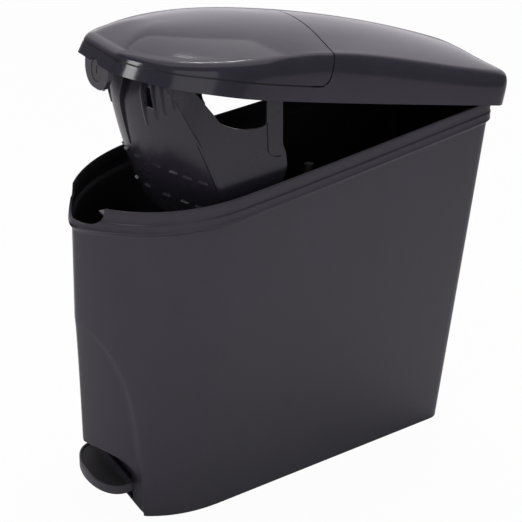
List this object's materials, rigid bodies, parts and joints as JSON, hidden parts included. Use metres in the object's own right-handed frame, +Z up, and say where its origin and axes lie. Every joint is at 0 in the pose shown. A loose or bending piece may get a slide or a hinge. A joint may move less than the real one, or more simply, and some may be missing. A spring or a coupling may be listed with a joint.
{
  "type": "pedal sanitary bin",
  "caption": "Slim pedal-operated sanitary bin with a bowed nose, a hinged lid, a swinging flap with a modesty tray, a lock and a push rod.",
  "frame": {"origin": "middle of the flat base, on the floor", "axes": "+Z up, -Y towards the bowed nose with the pedal, +X to the side of the push rod"},
  "size_m": [0.2066, 0.5162, 0.5568],
  "materials": {
    "body_plastic": "charcoal grey polypropylene, satin with a fine moulded grain",
    "lid_plastic": "charcoal grey polypropylene, smooth semi-gloss",
    "tray_plastic": "charcoal grey polypropylene, semi-gloss, ribbed",
    "dark_plastic": "black moulded plastic, satin",
    "lock_plastic": "dark moulded lock with a steel keyway",
    "steel": "bright zinc plated steel",
    "rubber": "black soft rubber"
  },
  "bodies": {
    "base": {"tub_shell": "body_plastic", "base_cover": "dark_plastic", "base_cover_screw_1": "steel", "base_cover_screw_2": "steel", "base_cover_screw_3": "steel", "base_cover_screw_4": "steel", "base_cover_screw_5": "steel", "base_cover_screw_6": "steel", "pedal_axle": "steel", "axle_clip_left": "steel", "axle_clip_right": "steel", "rod_guide_lower": "dark_plastic", "rod_guide_upper": "dark_plastic", "lid_hinge_pin": "steel", "hinge_pin_cap_left": "dark_plastic", "hinge_pin_cap_right": "dark_plastic"},
    "lid": {"lid_frame": "lid_plastic", "flap_pin_left": "steel", "flap_pin_right": "steel", "flap_buffer_front_left": "rubber", "flap_buffer_front_right": "rubber", "flap_buffer_rear_left": "rubber", "flap_buffer_rear_right": "rubber", "lock_nut": "steel"},
    "flap": {"flap": "lid_plastic", "tray": "tray_plastic", "tray_screw_left": "steel", "tray_screw_right": "steel"},
    "lock": {"lock_barrel": "lock_plastic", "lock_cam": "steel", "lock_cam_screw": "steel"},
    "pedal": {"pedal": "body_plastic"},
    "rod": {"push_rod": "steel", "rod_foot": "dark_plastic", "rod_foot_pin": "steel", "rod_cap": "rubber"}
  },
  "joints": [
    {"name": "lid_hinge", "type": "hinge", "parent": "base", "child": "lid", "pos_m": [0, 0.2535, 0.397], "axis": [-1, 0, 0], "range_deg": [-18, 72]},
    {"name": "flap_hinge", "type": "hinge", "parent": "lid", "child": "flap", "pos_m": [0, 0.05057, 0.49566], "axis": [-1, 0, 0], "range_deg": [0, 24]},
    {"name": "lock_turn", "type": "hinge", "parent": "lid", "child": "lock", "pos_m": [0, -0.21475, 0.51312], "axis": [0, -0.9966, 0.0825], "range_deg": [0, 90]},
    {"name": "pedal_pivot", "type": "hinge", "parent": "base", "child": "pedal", "pos_m": [0, -0.115, 0.0275], "axis": [1, 0, 0], "range_deg": [0, 6.5]},
    {"name": "rod_slide", "type": "slide", "parent": "base", "child": "rod", "axis": [0, 0, 1], "range_m": [0, 0.0128]}
  ],
  "couplings": [
    {"joint": "pedal_pivot", "follows": "flap_hinge", "ratio": 0.2708},
    {"joint": "rod_slide", "follows": "flap_hinge", "m_per_rad": 0.03033}
  ]
}
